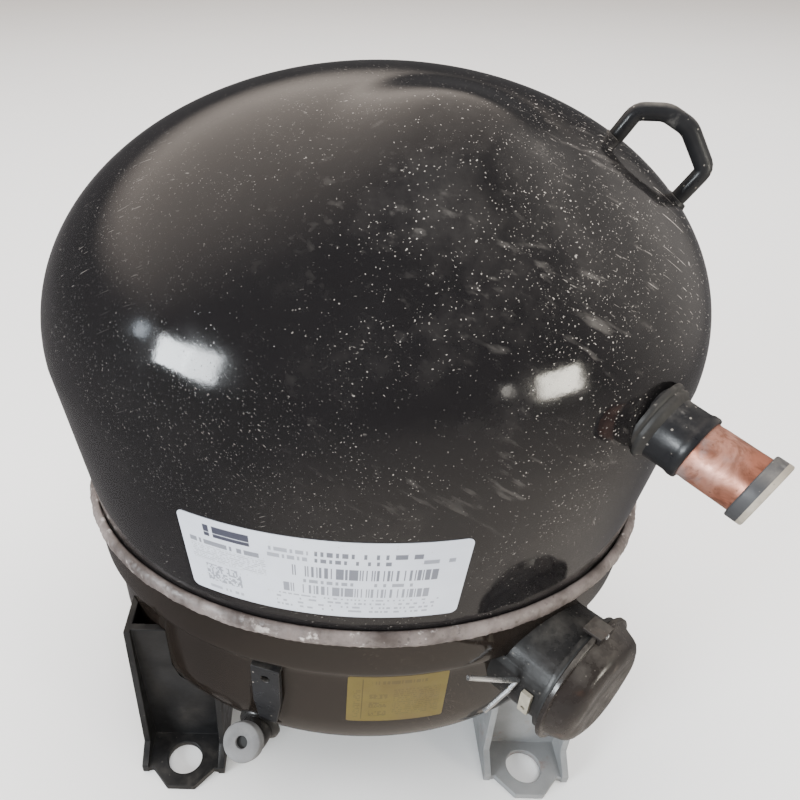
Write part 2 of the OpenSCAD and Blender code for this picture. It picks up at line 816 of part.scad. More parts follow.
upper_shell();
lower_shell();
weld_bead();
foot_front_left();
foot_front_right();
foot_rear_left();
foot_rear_right();
lifting_handle();
suction_sleeve();
suction_stub();
suction_plug();
discharge_elbow();
discharge_plug();
tube_bracket();
terminal_box();
terminal_gasket();
hermetic_terminal();
terminal_pins();
ground_terminal();
bail_wire();
terminal_cover();
cover_clips();
rating_label();
notice_label();
spring_studs();
suspension_springs();
spring_cups();
crankcase();
bearing_bushes();
lower_bearing_plate();
valve_plate_right();
valve_plate_left();
cylinder_head_right();
cylinder_head_left();
head_bolts();
discharge_muffler();
discharge_loop();
motor_frame();
stator_core();
stator_winding();
motor_bolts();
motor_cap();
motor_protector();
motor_leads();
cluster_block();
crankshaft();
counterweights();
oil_pickup();
rotor_core();
rotor_end_rings();
piston_right();
piston_left();
wrist_pin_right();
wrist_pin_left();
connecting_rod_right();
connecting_rod_left();
suction_valve_right();
suction_valve_left();
discharge_valve_right();
discharge_valve_left();
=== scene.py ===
"""Looks of the hermetic compressor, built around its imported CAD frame. Shapes are in millimetres."""

import json
import math

import bmesh
import bpy
from mathutils import Matrix, Vector, noise


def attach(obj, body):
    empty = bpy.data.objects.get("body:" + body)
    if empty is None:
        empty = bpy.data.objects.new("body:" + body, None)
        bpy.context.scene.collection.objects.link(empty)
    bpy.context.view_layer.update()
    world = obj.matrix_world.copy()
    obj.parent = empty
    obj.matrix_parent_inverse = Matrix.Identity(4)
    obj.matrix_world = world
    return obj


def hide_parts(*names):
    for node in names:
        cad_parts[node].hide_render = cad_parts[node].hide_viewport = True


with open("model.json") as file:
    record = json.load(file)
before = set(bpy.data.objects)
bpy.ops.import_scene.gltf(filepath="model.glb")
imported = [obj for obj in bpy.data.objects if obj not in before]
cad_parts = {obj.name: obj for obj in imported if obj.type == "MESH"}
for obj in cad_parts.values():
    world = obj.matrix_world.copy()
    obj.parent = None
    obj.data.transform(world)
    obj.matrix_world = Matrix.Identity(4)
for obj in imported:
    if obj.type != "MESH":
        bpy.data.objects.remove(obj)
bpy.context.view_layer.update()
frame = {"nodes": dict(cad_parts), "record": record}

MM = 0.001
TAU = 2 * math.pi

# Shell outline, as half lengths along X, and heights
RATIO = 0.83
SHOULDER_R, SHOULDER_Z, TOP_Z = 147.7, 228.0, 335.0
SEAM_R, SEAM_Z, SKIRT_Z = 139.1, 141.0, 127.0
RIM_R, RIM_Z, RIM_BOTTOM = 142.2, 139.0, 117.0
BODY_R, BODY_TOP, BASE_Z, WALL = 137.0, 112.0, 40.0, 3.0
BOSS_POS, BOSS_OUT = Vector((22, -55, 320)), Vector((0.114, -0.412, 0.905)).normalized()


# ---------- shape helpers ----------

def side_r(z):
    return SEAM_R + (SHOULDER_R - SEAM_R) * (z - SEAM_Z) / (SHOULDER_Z - SEAM_Z)


def smooth(t):
    t = min(1.0, max(0.0, t))
    return t * t * (3 - 2 * t)


def wall_frame(pos, az, tilt=0.0):
    """Frame on the wall, local +Z straight out of it."""
    turn = Matrix.Rotation(math.radians(az - 90), 4, "Z") @ Matrix.Rotation(math.radians(90 + tilt), 4, "Y")
    return Matrix.Translation(pos) @ turn


STUB = wall_frame((103, -87.6, 233), 43, 12)
TERMINAL = wall_frame((84, -89.5, 105), 42)
ELBOW = wall_frame((-50, -105, 56), -21)
BEND, BEND_R, STRAIGHT = math.radians(50), 11.0, 3.0
BEND_TIP = Vector((-BEND_R * (1 - math.cos(BEND)), 0, STRAIGHT + BEND_R * math.sin(BEND)))
ELBOW_END = ELBOW @ Matrix.Translation(BEND_TIP) @ Matrix.Rotation(-BEND, 4, "Y")


def chaikin(points, times=2):
    """Cuts the corners of an open profile, and keeps its ends."""
    for _ in range(times):
        cut = [points[0]]
        for a, b in zip(points, points[1:]):
            cut.append(tuple(0.75 * p + 0.25 * q for p, q in zip(a, b)))
            cut.append(tuple(0.25 * p + 0.75 * q for p, q in zip(a, b)))
        points = cut + [points[-1]]
    return points


def skin(rings, closed=False):
    """Faces between rings of points. A ring of one point is a pole."""
    verts, starts, faces = [], [], []
    for ring in rings:
        starts.append((len(verts), len(ring)))
        verts += ring
    pairs = list(zip(starts, starts[1:])) + ([(starts[-1], starts[0])] if closed else [])
    for (a, na), (b, nb) in pairs:
        n = max(na, nb)
        for k in range(n):
            j = (k + 1) % n
            if na == 1:
                faces.append((a, b + j, b + k))
            elif nb == 1:
                faces.append((a + k, a + j, b))
            else:
                faces.append((a + k, a + j, b + j, b + k))
    return verts, faces


def capped(rings):
    verts, faces = skin(rings)
    n = len(rings[0])
    faces.append(tuple(range(n - 1, -1, -1)))
    faces.append(tuple(range(len(verts) - n, len(verts))))
    return verts, faces


def add(name, shape, slot, replaces=(), matrix=None, sharp=38.0, uvs=None, body="housing"):
    """Makes a mesh object from points in millimetres and hangs it on its body."""
    verts, faces = shape
    place = matrix or Matrix.Identity(4)
    mesh = bpy.data.meshes.new(name)
    mesh.from_pydata([(place @ Vector(v)) * MM for v in verts], [], faces)
    if uvs:
        layer = mesh.uv_layers.new(name="UVMap")
        for loop in mesh.loops:
            layer.data[loop.index].uv = uvs[loop.vertex_index]
    obj = bpy.data.objects.new(name, mesh)
    bpy.context.scene.collection.objects.link(obj)
    finish_mesh(obj, sharp)
    mesh.materials.append(MATERIALS[slot])
    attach(obj, body)
    if replaces:
        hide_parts(*replaces)
    return obj


def finish_mesh(obj, sharp):
    """Outward normals, and smooth shading up to an edge angle in degrees."""
    bm = bmesh.new()
    bm.from_mesh(obj.data)
    bmesh.ops.recalc_face_normals(bm, faces=bm.faces)
    for face in bm.faces:
        face.smooth = True
    limit = math.radians(sharp)
    for edge in bm.edges:
        edge.smooth = edge.calc_face_angle(0.0) < limit
    bm.to_mesh(obj.data)
    bm.free()


def ring(r, z, n, ratio=1.0):
    return [(r * math.cos(TAU * k / n), ratio * r * math.sin(TAU * k / n), z) for k in range(n)]


def circle_at(centre, r, side, other, n):
    angles = [TAU * k / n for k in range(n)]
    return [tuple(centre + r * (math.cos(a) * side + math.sin(a) * other)) for a in angles]


def lathe(profile, n=96, closed=True):
    return skin([ring(r, z, n) if r > 1e-6 else [(0.0, 0.0, z)] for r, z in profile], closed)


def sweep(path, r, n=20, flat=1.0, up=Vector((0, 0, 1))):
    """A bar along a path. flat squeezes it across its own plane."""
    rings, side = [], None
    for i, p in enumerate(path):
        ahead = (path[min(i + 1, len(path) - 1)] - path[max(i - 1, 0)]).normalized()
        if side is None:
            side = ahead.cross(up).normalized()
        side = (side - ahead * side.dot(ahead)).normalized()
        other = flat * ahead.cross(side)
        rings.append(circle_at(p, r, side, other, n))
    return capped(rings)


def cut(obj, *cutters):
    """Takes round holes out of obj. Each cutter is (frame, radius, half length)."""
    for matrix, r, half in cutters:
        verts, faces = capped([ring(r, -half, 96), ring(r, half, 96)])
        mesh = bpy.data.meshes.new("cutter")
        mesh.from_pydata([(matrix @ Vector(v)) * MM for v in verts], [], faces)
        tool = bpy.data.objects.new("cutter", mesh)
        bpy.context.scene.collection.objects.link(tool)
        mod = obj.modifiers.new("hole", "BOOLEAN")
        mod.operation, mod.solver, mod.object = "DIFFERENCE", "EXACT", tool
        graph = bpy.context.evaluated_depsgraph_get()
        made = bpy.data.meshes.new_from_object(obj.evaluated_get(graph))
        obj.modifiers.remove(mod)
        obj.data = made
        bpy.data.objects.remove(tool)
    finish_mesh(obj, 38)


# ---------- materials ----------

class Paint:
    """A procedural material, in the object's own coordinates."""

    def __init__(self, name, metallic=0.0, ior=1.5, coat=0.0):
        self.mat = bpy.data.materials.new(name)
        self.mat.use_nodes = True
        self.tree = self.mat.node_tree
        self.bsdf = self.tree.nodes["Principled BSDF"]
        self.bsdf.inputs["Metallic"].default_value = metallic
        self.bsdf.inputs["IOR"].default_value = ior
        self.bsdf.inputs["Coat Weight"].default_value = coat
        self.coord = self.tree.nodes.new("ShaderNodeTexCoord")
        self.place = self.coord.outputs["Object"]

    def node(self, kind, links=(), **settings):
        made = self.tree.nodes.new(kind)
        for key, value in settings.items():
            setattr(made, key, value)
        for socket, value in dict(links).items():
            if hasattr(value, "is_output"):
                self.tree.links.new(value, made.inputs[socket])
            else:
                made.inputs[socket].default_value = value
        return made

    def noise(self, scale, detail=4.0, rough=0.55, vec=None, distortion=0.0):
        return self.node("ShaderNodeTexNoise", {"Vector": vec or self.place, "Scale": scale, "Detail": detail,
                                                "Roughness": rough, "Distortion": distortion}).outputs["Fac"]

    def stretched(self, scale, turn, level, detail=2.0):
        spread = self.node("ShaderNodeMapping", {"Vector": self.place, "Rotation": turn,
                                                 "Scale": tuple(1 / s for s in scale)}, vector_type="TEXTURE")
        return self.noise(level, detail, 0.5, spread.outputs["Vector"])

    def math(self, op, a, b=0.0, clamp=False):
        return self.node("ShaderNodeMath", {0: a, 1: b}, operation=op, use_clamp=clamp).outputs[0]

    def span(self, value, low, high, a=0.0, b=1.0):
        limits = {"Value": value, "From Min": low, "From Max": high, "To Min": a, "To Max": b}
        return self.node("ShaderNodeMapRange", limits, interpolation_type="SMOOTHSTEP").outputs["Result"]

    def mix(self, fac, a, b):
        made = self.node("ShaderNodeMix", {"Factor": fac}, data_type="RGBA")
        for index, value in ((6, a), (7, b)):
            if hasattr(value, "is_output"):
                self.tree.links.new(value, made.inputs[index])
            else:
                made.inputs[index].default_value = (*value, 1.0)
        return made.outputs[2]

    def specks(self, scale, size, share):
        """Small round grains: share of the cells hold one."""
        cells = self.node("ShaderNodeTexVoronoi", {"Vector": self.place, "Scale": scale})
        chance = self.node("ShaderNodeSeparateColor", {"Color": cells.outputs["Color"]})
        kept = self.math("GREATER_THAN", chance.outputs["Red"], 1 - share)
        big = self.math("MULTIPLY", chance.outputs["Green"], size)
        grain = self.math("SUBTRACT", big, cells.outputs["Distance"])
        return self.math("MULTIPLY", kept, self.span(grain, 0.0, size * 0.35))

    def axis(self, name):
        return self.node("ShaderNodeSeparateXYZ", {"Vector": self.place}).outputs[name]

    def up(self):
        return self.node("ShaderNodeSeparateXYZ",
                         {"Vector": self.node("ShaderNodeNewGeometry").outputs["Normal"]}).outputs["Z"]

    def bump(self, height, strength, distance=0.001, under=None):
        links = {"Height": height, "Strength": strength, "Distance": distance}
        if under is not None:
            links["Normal"] = under
        return self.node("ShaderNodeBump", links).outputs["Normal"]

    def done(self, color, rough, normal=None):
        for socket, value in (("Base Color", color), ("Roughness", rough), ("Normal", normal)):
            if value is not None:
                self.tree.links.new(value, self.bsdf.inputs[socket])
        return self.mat


DUSTIEST = (0.062, -0.088, 0.285)  # a place on the front right of the dome, in metres


def gloss_paint(name, base, dust_colour, dust=1.0, scratch=1.0, rough=(0.07, 0.2), film=1.0, ior=1.5):
    """Black gloss paint with dust grains, hair scratches and a thin film, heaviest on the front right."""
    m = Paint(name, ior=ior)
    away = m.node("ShaderNodeVectorMath", {0: m.place, 1: DUSTIEST}, operation="DISTANCE")
    near = m.span(away.outputs["Value"], 0.03, 0.14, 1.0, 0.0)
    side = m.math("ADD", m.math("MULTIPLY", near, 0.75), m.span(m.axis("X"), -0.08, 0.10, 0.22, 0.6), True)
    patch = m.span(m.noise(19, 6, 0.65), 0.44, 0.62)
    bent = m.node("ShaderNodeTexNoise", {"Vector": m.place, "Scale": 300.0, "Detail": 2.0})
    shift = m.node("ShaderNodeVectorMath", {0: bent.outputs["Color"], "Scale": 0.0022}, operation="SCALE")
    torn = m.node("ShaderNodeVectorMath", {0: m.place, 1: shift.outputs["Vector"]}, operation="ADD")
    plain, m.place = m.place, torn.outputs["Vector"]
    fine = m.math("MULTIPLY", m.specks(900, 0.30, 0.42), m.span(m.noise(40, 5, 0.65), 0.42, 0.6, 0.12, 1.0))
    coarse = m.specks(330, 0.14, 0.14)
    crowd = m.math("MULTIPLY", near, m.span(m.noise(90, 5), 0.46, 0.6))
    clumps = m.math("MULTIPLY", m.specks(210, 0.17, 0.2), crowd)
    m.place = plain
    lines = []
    for turn, seed, level in (((0, 0.6, 0.3), 8.0, 0.685), ((0, -0.5, -0.4), 11.0, 0.69),
                              ((0, 1.2, 0.5), 6.0, 0.695), ((0, 0.2, 1.2), 9.0, 0.69)):
        hairs = m.span(m.stretched((seed * 1.4, 1300, 1300), turn, 1.0), level, level + 0.03)
        lines.append(m.math("MULTIPLY", hairs, m.span(m.noise(seed, 4), 0.5, 0.6)))
    marks = lines[0]
    for line in lines[1:]:
        marks = m.math("MAXIMUM", marks, line)
    rub = m.math("MULTIPLY", m.span(m.stretched((40, 260, 260), (0, 0.65, 0.3), 1.0, 5.0), 0.56, 0.74),
                 m.math("MULTIPLY", patch, near))
    marks = m.math("MULTIPLY", m.math("ADD", marks, m.math("MULTIPLY", rub, 0.17)), scratch)
    small = m.math("ADD", m.math("MULTIPLY", fine, 0.7), m.math("MULTIPLY", coarse, 0.8))
    grains = m.math("MULTIPLY", m.math("ADD", small, clumps), dust)
    haze = m.math("MULTIPLY", m.span(m.noise(22, 8, 0.7), 0.45, 0.8), 0.05 * film)
    total = m.math("MULTIPLY", m.math("ADD", m.math("ADD", grains, marks), haze), side, True)
    tone = m.mix(m.noise(6, 3), base, tuple(1.7 * c for c in base))
    color = m.mix(m.math("MULTIPLY", total, 0.7), tone, dust_colour)
    film_r = m.span(m.noise(30, 6, 0.6), 0.35, 0.75, rough[0], rough[1])
    roughness = m.math("ADD", film_r, m.math("MULTIPLY", total, 0.4), True)
    peel = m.bump(m.noise(420, 2), 0.05, 0.0004)
    swell = m.bump(m.noise(20, 2, 0.4), 0.06, 0.003, peel)
    return m.done(color, roughness, m.bump(grains, 0.25, 0.0002, swell))


def worn_paint(name, base, worn, rough=0.42, dust=0.5, rust=0.0, ior=1.36):
    """Thin brushed-on or dipped paint over sheet steel."""
    m = Paint(name, ior=ior)
    tone = m.mix(m.span(m.noise(24, 6, 0.62), 0.3, 0.72), base, tuple(1.5 * c + 0.006 for c in base))
    wear = m.span(m.noise(70, 8, 0.7), 0.6, 0.72)
    tone = m.mix(m.math("MULTIPLY", wear, 0.7), tone, worn)
    grains = m.math("MULTIPLY", m.specks(520, 0.3, 0.3), dust)
    cloud = m.span(m.noise(45, 6, 0.7), 0.4, 0.75, 0.0, 0.4 * dust)
    settled = m.math("MULTIPLY", m.span(m.up(), 0.5, 1.0), cloud)
    tone = m.mix(m.math("ADD", m.math("MULTIPLY", grains, 0.6), settled, True), tone, (0.34, 0.31, 0.27))
    if rust:
        spots = m.math("MULTIPLY", m.span(m.noise(38, 8, 0.72), 0.55, 0.7), rust)
        tone = m.mix(spots, tone, (0.16, 0.062, 0.028))
    roughness = m.span(m.noise(90, 6, 0.6), 0.25, 0.75, rough - 0.12, rough + 0.16)
    base_bump = m.bump(m.noise(300, 4, 0.6), 0.22, 0.0005)
    return m.done(tone, roughness, m.bump(m.noise(28, 3, 0.5), 0.2, 0.002, base_bump))


def weld(name):
    """Scaled, dusty weld metal."""
    m = Paint(name)
    tone = m.mix(m.span(m.noise(60, 7, 0.65), 0.3, 0.7), (0.055, 0.043, 0.039), (0.185, 0.155, 0.145))
    pale = m.math("MULTIPLY", m.span(m.noise(130, 5, 0.7), 0.56, 0.68), m.span(m.noise(13, 3), 0.38, 0.6))
    tone = m.mix(pale, tone, (0.50, 0.455, 0.43))
    dark = m.span(m.noise(240, 4, 0.6), 0.6, 0.72)
    tone = m.mix(m.math("MULTIPLY", dark, 0.7), tone, (0.035, 0.027, 0.024))
    roughness = m.span(m.noise(180, 5), 0.3, 0.7, 0.32, 0.7)
    coarse = m.bump(m.noise(170, 6, 0.65), 0.6, 0.001)
    return m.done(tone, roughness, m.bump(m.noise(700, 3, 0.6), 0.35, 0.0004, coarse))


def metal(name, base, stain, rough=0.32, grain=None, stains=0.6):
    """Bare metal with stains and, if grain is given, drawing marks along that stretch."""
    m = Paint(name, metallic=0.92)
    cloud = m.math("MULTIPLY", m.span(m.noise(48, 8, 0.68), 0.42, 0.7), stains)
    tone = m.mix(cloud, base, stain)
    tone = m.mix(m.math("MULTIPLY", m.specks(420, 0.28, 0.22), 0.6), tone, tuple(0.4 * c for c in stain))
    roughness = m.span(m.noise(85, 7, 0.65), 0.3, 0.72, rough - 0.12, rough + 0.2)
    fine = m.bump(m.stretched(grain or (300, 300, 300), (0, 0, 0), 1.0, 4.0), 0.14, 0.0004)
    return m.done(tone, roughness, m.bump(m.noise(60, 4, 0.6), 0.1, 0.0012, fine))


def copper(name):
    m = Paint(name, metallic=0.72)
    pink = m.mix(m.span(m.noise(60, 4, 0.5), 0.35, 0.66), (0.44, 0.17, 0.11), (0.58, 0.31, 0.24))
    brown = m.span(m.noise(75, 7, 0.65, distortion=1.2), 0.44, 0.62)
    tone = m.mix(m.math("MULTIPLY", brown, 0.75), pink, (0.20, 0.075, 0.045))
    grey = m.span(m.noise(42, 6, 0.6), 0.56, 0.70)
    tone = m.mix(m.math("MULTIPLY", grey, 0.7), tone, (0.40, 0.34, 0.335))
    tone = m.mix(m.math("MULTIPLY", m.specks(700, 0.3, 0.2), 0.6), tone, (0.12, 0.06, 0.04))
    roughness = m.span(m.noise(110, 6, 0.6), 0.3, 0.7, 0.34, 0.62)
    return m.done(tone, roughness, m.bump(m.noise(190, 5, 0.6), 0.16, 0.0006))


def cast(name, base):
    m = Paint(name, metallic=0.55)
    tone = m.mix(m.span(m.noise(36, 7, 0.6), 0.3, 0.7), base, tuple(0.5 * c for c in base))
    tone = m.mix(m.math("MULTIPLY", m.span(m.noise(90, 6, 0.7), 0.6, 0.74), 0.6), tone, (0.17, 0.10, 0.06))
    grain = m.bump(m.noise(520, 5, 0.65), 0.5, 0.0006)
    roughness = m.span(m.noise(160, 5), 0.3, 0.7, 0.45, 0.75)
    return m.done(tone, roughness, m.bump(m.noise(70, 3), 0.2, 0.001, grain))


def soft(name, base, rough=0.6, grime=0.5, sheen=(0.3, 0.27, 0.24)):
    """Rubber or moulded plastic with handling marks."""
    m = Paint(name, ior=1.48)
    tone = m.mix(m.span(m.noise(70, 6, 0.62), 0.34, 0.7), base, tuple(0.62 * c for c in base))
    smear = m.math("MULTIPLY", m.span(m.noise(52, 8, 0.7), 0.5, 0.72), grime * 0.6)
    tone = m.mix(smear, tone, sheen)
    tone = m.mix(m.math("MULTIPLY", m.specks(640, 0.3, 0.25), 0.5 * grime), tone, (0.07, 0.06, 0.05))
    roughness = m.span(m.noise(120, 5), 0.3, 0.7, rough - 0.1, rough + 0.14)
    return m.done(tone, roughness, m.bump(m.noise(480, 4, 0.6), 0.2, 0.0004))


def laminated(name, base, pitch):
    """Stacked sheets, with a line at each one."""
    m = Paint(name, metallic=0.75)
    sheets = m.math("FRACT", m.math("MULTIPLY", m.axis("Z"), 1 / pitch))
    line = m.math("ADD", m.span(sheets, 0.0, 0.16, 1.0, 0.0), m.span(sheets, 0.84, 1.0), True)
    tone = m.mix(m.span(m.noise(40, 6, 0.6), 0.3, 0.7), base, tuple(0.6 * c for c in base))
    tone = m.mix(m.math("MULTIPLY", line, 0.75), tone, (0.03, 0.028, 0.027))
    return m.done(tone, m.span(m.noise(140, 5), 0.3, 0.7, 0.34, 0.58), m.bump(line, 0.5, -0.0003))


def wound(name):
    """Varnished magnet wire."""
    m = Paint(name, metallic=0.5, coat=0.6)
    strands = m.stretched((260, 260, 1500), (0, 0, 0), 1.0, 3.0)
    tone = m.mix(m.span(strands, 0.35, 0.65), (0.36, 0.10, 0.035), (0.66, 0.27, 0.10))
    tone = m.mix(m.span(m.noise(50, 5, 0.6), 0.5, 0.75, 0.0, 0.5), tone, (0.16, 0.05, 0.025))
    return m.done(tone, m.span(strands, 0.3, 0.7, 0.25, 0.5), m.bump(strands, 0.6, 0.0008))


class Print(Paint):
    """Label stock with blocks of generic print, laid out in the label's own 0 to 1 square."""

    def __init__(self, name):
        super().__init__(name, ior=1.45)
        self.flat = self.node("ShaderNodeSeparateXYZ", {"Vector": self.coord.outputs["UV"]})
        self.u, self.v = self.flat.outputs["X"], self.flat.outputs["Y"]
        self.ink = None

    def area(self, u0, u1, v0, v1):
        return self.math("MULTIPLY", self.between(self.u, u0, u1), self.between(self.v, v0, v1))

    def between(self, value, low, high):
        above, under = self.math("GREATER_THAN", value, low), self.math("LESS_THAN", value, high)
        return self.math("MULTIPLY", above, under)

    def cells(self, across, along, share):
        """A random grid in which share of the cells are inked."""
        grid = self.node("ShaderNodeCombineXYZ", {
            "X": self.math("FLOOR", self.math("MULTIPLY", self.u, across)),
            "Y": self.math("FLOOR", self.math("MULTIPLY", self.v, along))})
        dice = self.node("ShaderNodeTexWhiteNoise", {"Vector": grid.outputs["Vector"]}, noise_dimensions="3D")
        return self.math("LESS_THAN", dice.outputs["Value"], share)

    def stripes(self, count, low, high):
        return self.between(self.math("FRACT", self.math("MULTIPLY", self.v, count)), low, high)

    def put(self, weight, *masks):
        made = masks[0]
        for mask in masks[1:]:
            made = self.math("MULTIPLY", made, mask)
        made = self.math("MULTIPLY", made, weight)
        self.ink = made if self.ink is None else self.math("MAXIMUM", self.ink, made)


def white_label(name):
    m = Print(name)
    m.put(0.95, m.area(0.10, 0.27, 0.78, 0.92), m.cells(74, 1, 0.72), m.stripes(7.2, 0.0, 0.95))
    m.put(0.7, m.area(0.035, 0.30, 0.66, 0.72), m.cells(110, 1, 0.7))
    m.put(0.38, m.area(0.035, 0.32, 0.44, 0.64), m.cells(190, 40, 0.66), m.stripes(40, 0.25, 0.8))
    m.put(0.6, m.area(0.08, 0.22, 0.17, 0.40), m.cells(160, 44, 0.5))
    m.put(0.45, m.area(0.08, 0.22, 0.06, 0.10), m.cells(130, 1, 0.62))
    m.put(0.55, m.area(0.33, 0.47, 0.80, 0.85), m.cells(110, 1, 0.6))
    m.put(0.8, m.area(0.49, 0.84, 0.80, 0.86), m.cells(100, 1, 0.62))
    m.put(0.55, m.area(0.33, 0.47, 0.72, 0.77), m.cells(118, 1, 0.6))
    m.put(0.8, m.area(0.49, 0.74, 0.72, 0.77), m.cells(104, 1, 0.62))
    m.put(0.6, m.area(0.83, 0.95, 0.73, 0.78), m.cells(96, 1, 0.6))
    m.put(0.78, m.area(0.41, 0.90, 0.52, 0.66), m.cells(230, 1, 0.52))
    m.put(0.6, m.area(0.44, 0.82, 0.44, 0.485), m.cells(100, 1, 0.6))
    m.put(0.66, m.area(0.37, 0.88, 0.29, 0.41), m.cells(235, 1, 0.5))
    m.put(0.5, m.area(0.35, 0.92, 0.07, 0.26), m.cells(150, 18, 0.36), m.stripes(18, 0.3, 0.8))
    paper = m.mix(m.span(m.noise(30, 5), 0.3, 0.7), (0.50, 0.53, 0.60), (0.58, 0.61, 0.67))
    tone = m.mix(m.ink, paper, (0.018, 0.018, 0.035))
    tone = m.mix(m.math("MULTIPLY", m.specks(700, 0.3, 0.16), 0.5), tone, (0.30, 0.27, 0.24))
    return m.done(tone, m.span(m.noise(90, 4), 0.3, 0.7, 0.28, 0.42), m.bump(m.noise(160, 3), 0.06, 0.0004))


def yellow_label(name):
    m = Print(name)
    m.put(0.45, m.area(0.06, 0.13, 0.08, 0.72), m.cells(60, 26, 0.6), m.stripes(26, 0.2, 0.85))
    m.put(0.8, m.area(0.145, 0.155, 0.05, 0.95))
    m.put(0.5, m.area(0.22, 0.40, 0.12, 0.24), m.cells(80, 30, 0.7))
    m.put(0.5, m.area(0.22, 0.40, 0.32, 0.44), m.cells(80, 30, 0.7))
    m.put(0.5, m.area(0.22, 0.40, 0.52, 0.62), m.cells(80, 30, 0.7))
    m.put(0.5, m.area(0.24, 0.80, 0.84, 0.91), m.cells(70, 1, 0.6))
    m.put(0.42, m.area(0.46, 0.94, 0.12, 0.74), m.cells(90, 22, 0.6), m.stripes(22, 0.2, 0.8))
    film = m.mix(m.span(m.noise(26, 5, 0.6), 0.3, 0.7), (0.115, 0.088, 0.014), (0.090, 0.062, 0.018))
    tone = m.mix(m.ink, film, (0.042, 0.032, 0.012))
    tone = m.mix(m.math("MULTIPLY", m.specks(560, 0.3, 0.2), 0.45), tone, (0.10, 0.08, 0.05))
    return m.done(tone, m.span(m.noise(80, 4), 0.3, 0.7, 0.3, 0.5), m.bump(m.noise(140, 3), 0.08, 0.0004))


MATERIALS = {
    "shell_paint": gloss_paint("shell_paint", (0.0065, 0.006, 0.0063), (0.55, 0.51, 0.47),
                               rough=(0.06, 0.17), ior=1.40),
    "lower_paint": gloss_paint("lower_paint", (0.009, 0.0068, 0.0055), (0.28, 0.23, 0.18),
                               dust=0.4, scratch=0.3, rough=(0.10, 0.22), film=0.5, ior=1.36),
    "weld_metal": weld("weld_metal"),
    "foot_black": worn_paint("foot_black", (0.0075, 0.0075, 0.008), (0.035, 0.033, 0.031), 0.40, 0.25),
    "foot_grey": worn_paint("foot_grey", (0.145, 0.148, 0.15), (0.22, 0.21, 0.20), 0.5, 0.3, 0.7),
    "handle_paint": worn_paint("handle_paint", (0.008, 0.008, 0.009), (0.09, 0.085, 0.08), 0.34, 0.8),
    "copper": copper("copper"),
    "plug_rubber": soft("plug_rubber", (0.36, 0.32, 0.26), 0.55, 0.8, (0.16, 0.14, 0.12)),
    "grey_rubber": soft("grey_rubber", (0.15, 0.15, 0.153), 0.66, 0.4),
    # black_rubber colours the disc at the bottom of the discharge cap's hole, which is painted shade standing
    # for the dark inside of that hole.
    "black_rubber": soft("black_rubber", (0.018, 0.018, 0.018), 0.62, 0.3, (0.06, 0.055, 0.05)),
    "dark_steel": worn_paint("dark_steel", (0.0095, 0.009, 0.0088), (0.06, 0.054, 0.05), 0.32, 0.4),
    "plain_steel": laminated("plain_steel", (0.30, 0.31, 0.32), 0.0012),
    "bright_steel": metal("bright_steel", (0.56, 0.57, 0.58), (0.30, 0.28, 0.25), 0.26, (60, 60, 900), 0.4),
    "cast_iron": cast("cast_iron", (0.21, 0.215, 0.22)),
    "brass": metal("brass", (0.62, 0.44, 0.19), (0.33, 0.20, 0.08), 0.34, None, 0.6),
    "cover_paint": worn_paint("cover_paint", (0.0115, 0.009, 0.008), (0.075, 0.06, 0.052), 0.26, 0.55, 0.15),
    "label_white": white_label("label_white"),
    "label_yellow": yellow_label("label_yellow"),
    "winding": wound("winding"),
    "black_plastic": soft("black_plastic", (0.022, 0.022, 0.025), 0.45, 0.3, (0.08, 0.08, 0.08)),
    "ivory_plastic": soft("ivory_plastic", (0.62, 0.57, 0.45), 0.5, 0.3, (0.42, 0.36, 0.27)),
    "lead_red": soft("lead_red", (0.34, 0.04, 0.025), 0.5, 0.4, (0.14, 0.05, 0.04)),
    "aluminium": metal("aluminium", (0.60, 0.61, 0.62), (0.40, 0.40, 0.40), 0.38, (900, 60, 60), 0.4),
}
TAN = soft("tan_tab", (0.36, 0.33, 0.26), 0.5, 0.5, (0.22, 0.2, 0.16))
DARK_CAP = worn_paint("dark_cap", (0.035, 0.035, 0.037), (0.20, 0.195, 0.19), 0.42, 0.8)
DUSTY = worn_paint("dusty_weld", (0.016, 0.015, 0.014), (0.42, 0.38, 0.33), 0.55, 0.9, ior=1.45)


# ---------- carried-over CAD nodes ----------

def dress_nodes():
    """Every CAD node gets its slot's material, and the visible sheet parts get softened edges."""
    for row in frame["record"]["subparts"]:
        obj = frame["nodes"][row["node"]]
        obj.data.materials.clear()
        obj.data.materials.append(MATERIALS[row["material_slot"]])
    bevels = {"foot_front_left": 0.8, "foot_front_right": 0.8, "foot_rear_left": 0.8, "foot_rear_right": 0.8,
              "tube_bracket": 0.5, "cover_clips": 0.4, "ground_terminal": 0.4, "terminal_box": 0.35}
    for name, width in bevels.items():
        obj = frame["nodes"][name]
        joined = obj.modifiers.new("join", "WELD")
        joined.merge_threshold = 0.00002
        edge = obj.modifiers.new("edge", "BEVEL")
        edge.width, edge.segments = width * MM, 3
        edge.limit_method, edge.angle_limit = "ANGLE", math.radians(35)
        edge.harden_normals = True
    frame["nodes"]["ground_terminal"].data.materials[0] = TAN


# ---------- shell ----------

AROUND = 288


def boss_lift(p):
    """The soft round boss on the crown, pushed out along its own axis."""
    v = p - BOSS_POS
    radial = (v - BOSS_OUT * v.dot(BOSS_OUT)).length
    if v.dot(BOSS_OUT) < -60:
        return p
    return p + BOSS_OUT * (5.6 * smooth((45 - radial) / 33))


def shell_rings(profile, lift=False):
    rings = []
    for r, z in profile:
        points = [(0.0, 0.0, z)] if r < 1e-6 else ring(r, z, AROUND, RATIO)
        rings.append([tuple(boss_lift(Vector(p))) for p in points] if lift else points)
    return rings


